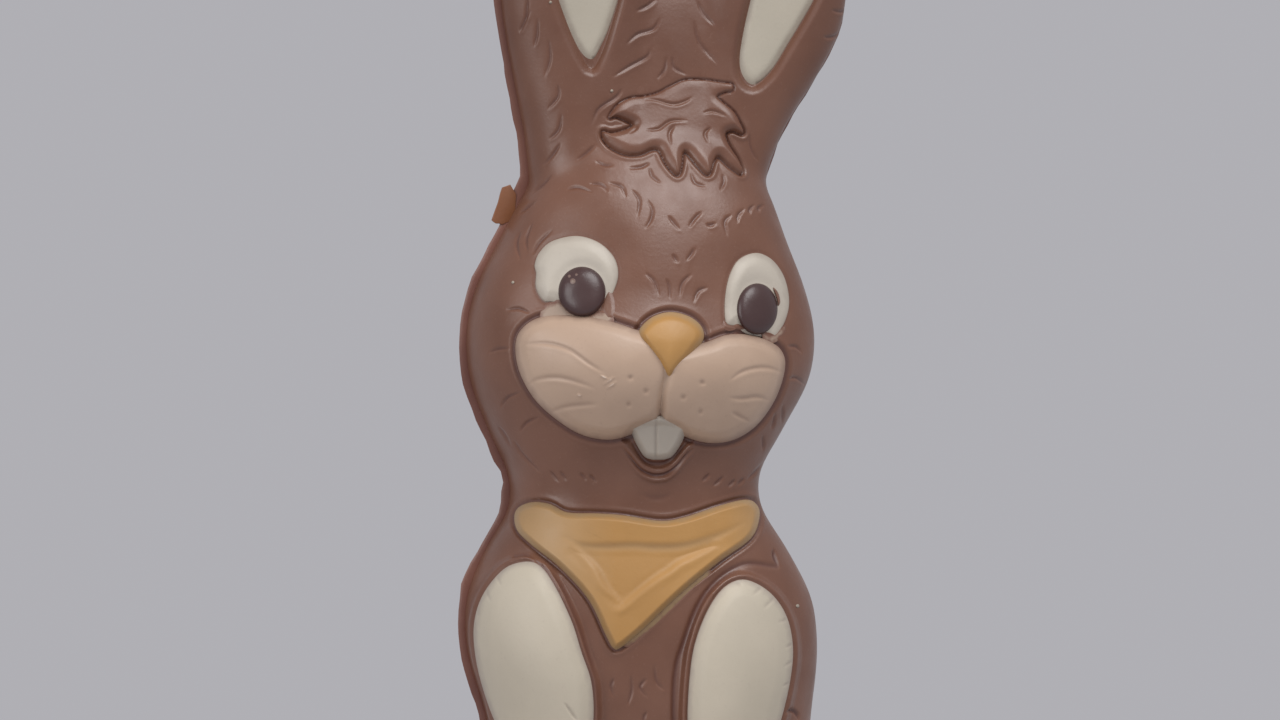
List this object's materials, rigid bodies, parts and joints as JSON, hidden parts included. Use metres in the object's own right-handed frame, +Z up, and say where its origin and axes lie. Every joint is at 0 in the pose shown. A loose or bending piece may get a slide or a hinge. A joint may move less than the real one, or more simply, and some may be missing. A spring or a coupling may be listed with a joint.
{
  "type": "chocolate bunny",
  "caption": "Upright moulded milk chocolate bunny with tall ears, decorated with inlaid coloured chocolate eyes, muzzle, nose, teeth, neckerchief and foot soles.",
  "frame": {"origin": "middle of the bounding box's floor area, on the flat foot that the bunny stands on", "axes": "+Z up towards the ears, -Y the way the bunny faces, +X to the right of someone who looks at its face"},
  "size_m": [0.0808, 0.057, 0.2053],
  "materials": {
    "milk_chocolate": "satin milk chocolate",
    "cream_chocolate": "satin cream-coloured white chocolate",
    "white_chocolate": "satin white chocolate",
    "beige_chocolate": "satin beige chocolate",
    "orange_chocolate": "satin orange-yellow chocolate",
    "dark_chocolate": "satin dark chocolate"
  },
  "bodies": {
    "root": {"chocolate_body": "milk_chocolate", "inner_ear_left": "cream_chocolate", "inner_ear_right": "cream_chocolate", "eye_left": "white_chocolate", "eye_right": "white_chocolate", "pupil_left": "dark_chocolate", "pupil_right": "dark_chocolate", "muzzle": "beige_chocolate", "nose": "orange_chocolate", "teeth": "white_chocolate", "bandana": "orange_chocolate", "sole_left": "cream_chocolate", "sole_right": "cream_chocolate"}
  },
  "joints": []
}
